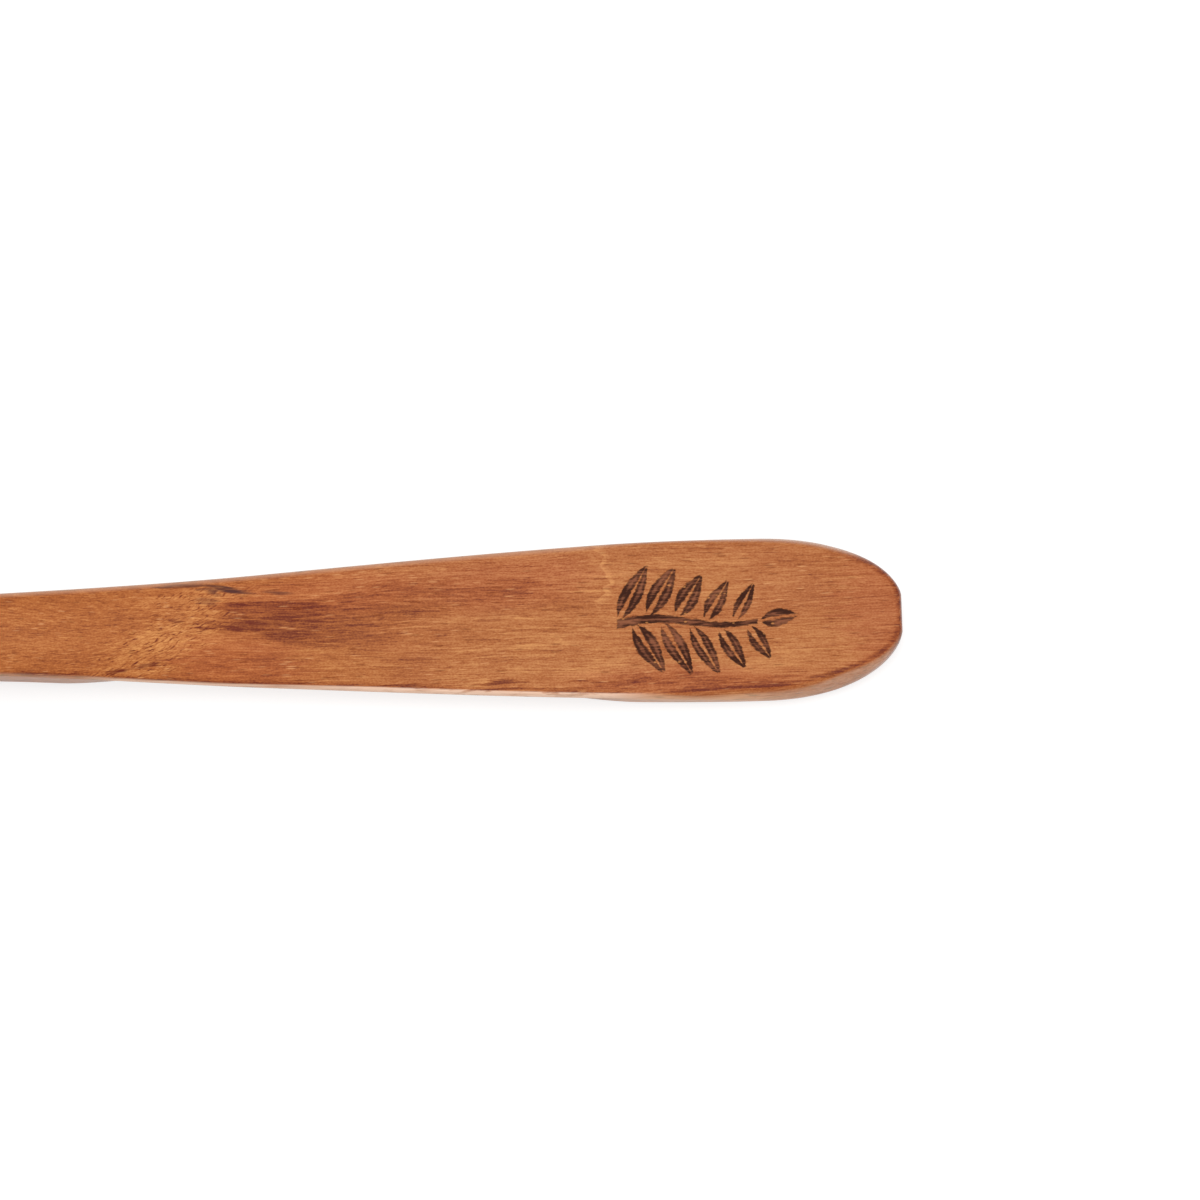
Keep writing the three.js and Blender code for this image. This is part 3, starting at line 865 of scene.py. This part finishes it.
def wood_material():
    wood = Wood("oiled_hardwood")
    tone = figured_tone(wood, plain_tone(wood))
    tint = edged_colour(wood, wood_colour(wood, tone))
    burned, char, bright = sprig(wood)
    tint = wood.blend(tint, BURN, wood.times(burned, BURN_STRENGTH))
    tint = wood.blend(tint, CHAR, char)
    tint = wood.blend(tint, LIGHT, bright)

    height = wood.total(HEIGHT_WEIGHTS, wood.fibre, wood.pores, burned, wood.short)
    bump = wood.add("ShaderNodeBump", {"Strength": 1.0, "Distance": MM, "Height": height})
    rough = wood.total(ROUGH_WEIGHTS, wood.fibre, burned, wood.mottle, 1.0)
    shader = wood.add("ShaderNodeBsdfPrincipled", {
        "Base Color": tint, "Roughness": rough, "Normal": bump.outputs[0], "IOR": 1.46,
        "Specular IOR Level": 0.14, "Sheen Weight": 0.6, "Sheen Roughness": 0.3})
    wood.add("ShaderNodeOutputMaterial", {0: shader.outputs[0]})
    return wood.owner


# Sprig burned into the palm, in mm
SPRIG_MIDDLE = (60.0, -0.5)
SPRIG_LENGTH = 20.5
SPRIG_TOP = (3.0, 3.5)  # heights between which the burning sets in
STEM_WIDTH = 1.0
STEM_WAVE = 0.45
STEM_WAVE_LENGTH = 17
LEAF_PITCH = 3.3
LEAF_LENGTH = 7.0
LEAF_WIDTH = 2.5
LEAF_FULLEST = 0.8  # below 1, a leaf is fullest nearer its foot
LEAF_SHRINK = (0.0, 6.0, 1.0, 0.6)  # from one leaf's number to another's, and their sizes
LEAF_TILT = 60
LEAF_RIB = 0.36
LEAF_FOOT = 0.5
LEAF_POINT = 0.94  # share of a leaf's length where it is cut off, because it narrows for ever
LEAVES_A_SIDE = 5
TIP_LEAF = 4.4
TIP_WIDTH = 0.8  # of the other leaves' width
TIP_FOOT = 0.4
TIP_POINT = 0.96
SHARE_TO_MM = 4.0  # turns a distance as a share of a leaf into about millimetres
FAR = 10.0  # so far outside that nothing is drawn
CHAR_WIDTH = 0.3
CHAR_EDGE = (CHAR_WIDTH, 0.05)
BURN_RAGGED = 0.45
BURNED = (-0.1, 0.08)
SPECK_STRENGTH = 0.6


def leaf_half(graph, share, size, width):
    """Half the width of a leaf at a share of its length: pointed at both ends, fuller near its foot."""
    bounded = graph.maths("MINIMUM", graph.maths("MAXIMUM", share, 0.0), 1.0)
    swell = graph.maths("SINE", graph.times(graph.maths("POWER", bounded, LEAF_FULLEST), math.pi))
    return graph.times(swell, size, width / 2)


def leaves(wood, u, v):
    """How far inside a leaf each place lies. The leaves are staggered, one in each slanted cell."""
    off = wood.maths("ABSOLUTE", v)
    above = wood.maths("GREATER_THAN", v, 0.0)
    tilt = math.radians(LEAF_TILT)
    slanted = wood.maths("MULTIPLY_ADD", off, -1 / math.tan(tilt), u)
    stepped = wood.maths("MULTIPLY_ADD", above, LEAF_PITCH / 2, slanted)
    cell = wood.maths("FLOOR", wood.maths("DIVIDE", stepped, LEAF_PITCH))
    axis = wood.maths("MULTIPLY_ADD", cell, LEAF_PITCH, LEAF_PITCH / 2)
    inside = wood.maths("SUBTRACT", stepped, axis)
    from_axis = wood.maths("ABSOLUTE", wood.times(inside, math.sin(tilt)))
    run = wood.maths("MULTIPLY_ADD", off, 1 / math.sin(tilt), wood.times(inside, math.cos(tilt)))
    size = wood.ramp(cell, *LEAF_SHRINK)
    share = wood.maths("DIVIDE", wood.maths("SUBTRACT", run, LEAF_FOOT), wood.times(size, LEAF_LENGTH))
    leaf = wood.maths("SUBTRACT", leaf_half(wood, share, size, LEAF_WIDTH), from_axis)
    rib = wood.times(wood.maths("SUBTRACT", 1.0, share), LEAF_RIB)
    leaf = wood.maths("MINIMUM", leaf, wood.maths("SUBTRACT", from_axis, rib))
    to_point = wood.times(wood.maths("SUBTRACT", LEAF_POINT, share), SHARE_TO_MM)
    leaf = wood.maths("MINIMUM", leaf, to_point)
    before_last = wood.maths("LESS_THAN", cell, LEAVES_A_SIDE - 0.5)
    used = wood.times(wood.maths("GREATER_THAN", cell, -0.5), before_last)
    return wood.maths("MINIMUM", leaf, wood.maths("MULTIPLY_ADD", used, 2 * FAR, -FAR))


def stem_and_tip(wood, u, v):
    """How far inside the stem, thicker towards its foot, or the leaf at its tip each place lies."""
    off = wood.maths("ABSOLUTE", v)
    stem_end = SPRIG_LENGTH - TIP_LEAF
    stem = wood.maths("SUBTRACT", wood.ramp(u, 0.0, stem_end, STEM_WIDTH / 2, STEM_WIDTH / 4), off)
    stem = wood.maths("MINIMUM", stem, wood.maths("MINIMUM", u, wood.maths("SUBTRACT", stem_end, u)))
    share = wood.maths("DIVIDE", wood.maths("SUBTRACT", u, stem_end + TIP_FOOT), TIP_LEAF)
    tip = wood.maths("SUBTRACT", leaf_half(wood, share, 1.0, LEAF_WIDTH * TIP_WIDTH), off)
    tip = wood.maths("MINIMUM", tip, wood.maths("SUBTRACT", off, LEAF_RIB / 2))
    ends = wood.maths("MINIMUM", share, wood.maths("SUBTRACT", TIP_POINT, share))
    tip = wood.maths("MINIMUM", tip, wood.times(ends, SHARE_TO_MM))
    return stem, tip


def sprig(wood):
    """Masks of the sprig: what is burned, what is charred, and its bright specks."""
    parts = wood.add("ShaderNodeSeparateXYZ", {0: wood.place})
    u = wood.maths("SUBTRACT", parts.outputs[0], SPRIG_MIDDLE[0] - SPRIG_LENGTH / 2)
    wave = wood.times(wood.maths("SINE", wood.times(u, 2 * math.pi / STEM_WAVE_LENGTH)), STEM_WAVE)
    v = wood.maths("SUBTRACT", wood.maths("SUBTRACT", parts.outputs[1], SPRIG_MIDDLE[1]), wave)
    stem, tip = stem_and_tip(wood, u, v)
    inked = wood.maths("MAXIMUM", wood.maths("MAXIMUM", leaves(wood, u, v), stem), tip)
    inked = wood.maths("MULTIPLY_ADD", wood.noise(wood.place, BURN_EDGE), BURN_RAGGED, inked)
    burned = wood.times(wood.ramp(inked, *BURNED), wood.ramp(parts.outputs[2], *SPRIG_TOP))
    from_rim = wood.maths("ABSOLUTE", wood.maths("SUBTRACT", inked, CHAR_WIDTH / 2))
    lines = wood.noise(wood.place, BURN_LINES)
    blotch = wood.noise(wood.place, BURN_BLOTCH)
    darkness = wood.total(CHAR_WEIGHTS, wood.ramp(from_rim, *CHAR_EDGE), lines, blotch, 1.0)
    char = wood.times(burned, wood.ramp(darkness, 0.0, 1.0))
    bright = wood.times(dashes(wood, wood.place, *BURN_SPECKS), burned, SPECK_STRENGTH)
    return burned, char, bright


spoon = spoon_object()
spoon.data.materials.append(wood_material())
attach(spoon, "root")
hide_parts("spoon")

# Floor, which cameras and reflections see lit and partly glowing: white, with light shadows
FLOOR_SIZE = 3000
FLOOR_DROP = 0.02  # the floor lies a hair under the spoon, so that the two never share a plane
FLOOR_COLOUR = 0.8
FLOOR_SEEN = 1.5
FLOOR_GLOW = 0.74


def seen_directly(graph):
    """1 for what the camera sees, also in a reflection or through glass, and 0 for light on its way."""
    path = graph.add("ShaderNodeLightPath", {})
    seen = graph.maths("MAXIMUM", path.outputs["Is Camera Ray"], path.outputs["Is Glossy Ray"])
    return graph.maths("MAXIMUM", seen, path.outputs["Is Transmission Ray"])


def floor_object():
    graph = Graph(bpy.data.materials.new("pale_floor"))
    plain = graph.add("ShaderNodeBsdfDiffuse", {0: (FLOOR_COLOUR, FLOOR_COLOUR, FLOOR_COLOUR, 1.0)})
    lit = graph.add("ShaderNodeBsdfDiffuse", {0: (FLOOR_SEEN, FLOOR_SEEN, FLOOR_SEEN, 1.0)})
    glow = graph.add("ShaderNodeEmission", {0: (1.0, 1.0, 1.0, 1.0), 1: 1.0})
    open_floor = graph.add("ShaderNodeMixShader", {0: FLOOR_GLOW, 1: lit.outputs[0], 2: glow.outputs[0]})
    seen = seen_directly(graph)
    shader = graph.add("ShaderNodeMixShader", {0: seen, 1: plain.outputs[0], 2: open_floor.outputs[0]})
    graph.add("ShaderNodeOutputMaterial", {0: shader.outputs[0]})
    half = FLOOR_SIZE / 2 * MM
    low = -FLOOR_DROP * MM
    mesh = bpy.data.meshes.new("floor")
    corners = [(-half, -half, low), (half, -half, low), (half, half, low), (-half, half, low)]
    mesh.from_pydata(corners, [], [(0, 1, 2, 3)])
    mesh.materials.append(graph.owner)
    made = bpy.data.objects.new("floor", mesh)
    bpy.context.collection.objects.link(made)
    return made


floor_object()

# Light: a pale sky that cameras and reflections see as white, and a broad soft lamp high above
SKY = 0.6
LAMP_LEVEL = 0.42  # what the lamp adds to a white surface that faces up
LAMP_SIZE = 500
LAMP_AT = (20, 150, 1000)
LAMP_AIM = (20, 0, 0)


def add_light():
    graph = Graph(bpy.data.worlds.new("soft_sky"))
    strength = graph.maths("MAXIMUM", seen_directly(graph), SKY)
    sky = graph.add("ShaderNodeBackground", {"Color": (1.0, 1.0, 1.0, 1.0), "Strength": strength})
    graph.add("ShaderNodeOutputWorld", {0: sky.outputs[0]})
    bpy.context.scene.world = graph.owner
    ray = Vector(LAMP_AT) - Vector(LAMP_AIM)
    drop = ray.normalized().z
    lamp = bpy.data.lights.new("softbox", "AREA")
    lamp.shape = "SQUARE"
    lamp.size = LAMP_SIZE * MM
    lamp.energy = LAMP_LEVEL * math.pi**2 * (ray.length * MM) ** 2 / drop
    made = bpy.data.objects.new("softbox", lamp)
    made.location = Vector(LAMP_AT) * MM
    made.rotation_euler = ray.to_track_quat("Z", "Y").to_euler()
    bpy.context.collection.objects.link(made)


add_light()

# Camera
VIEW_MIDDLE = (47.9, 2.72, 3.0)
VIEW_WIDTH = 138
VIEW_TILT = 10  # from straight down, towards -Y
VIEW_ROLL = 1.77
VIEW_DISTANCE = 700
SENSOR = 36


def add_camera():
    tilt = math.radians(VIEW_TILT)
    roll = math.radians(VIEW_ROLL)
    level_up = Vector((0, math.cos(tilt), math.sin(tilt)))
    back = Vector((0, -math.sin(tilt), math.cos(tilt)))
    right = Vector((1, 0, 0)) * math.cos(roll) - level_up * math.sin(roll)
    up = Vector((1, 0, 0)) * math.sin(roll) + level_up * math.cos(roll)
    data = bpy.data.cameras.new("camera")
    data.sensor_width = SENSOR
    data.lens = SENSOR * VIEW_DISTANCE / VIEW_WIDTH
    made = bpy.data.objects.new("camera", data)
    turn = Matrix((right, up, back)).transposed()
    place = (Vector(VIEW_MIDDLE) + back * VIEW_DISTANCE) * MM
    made.matrix_world = Matrix.Translation(place) @ turn.to_4x4()
    bpy.context.collection.objects.link(made)
    bpy.context.scene.camera = made


add_camera()
bpy.context.scene.view_settings.view_transform = "Standard"
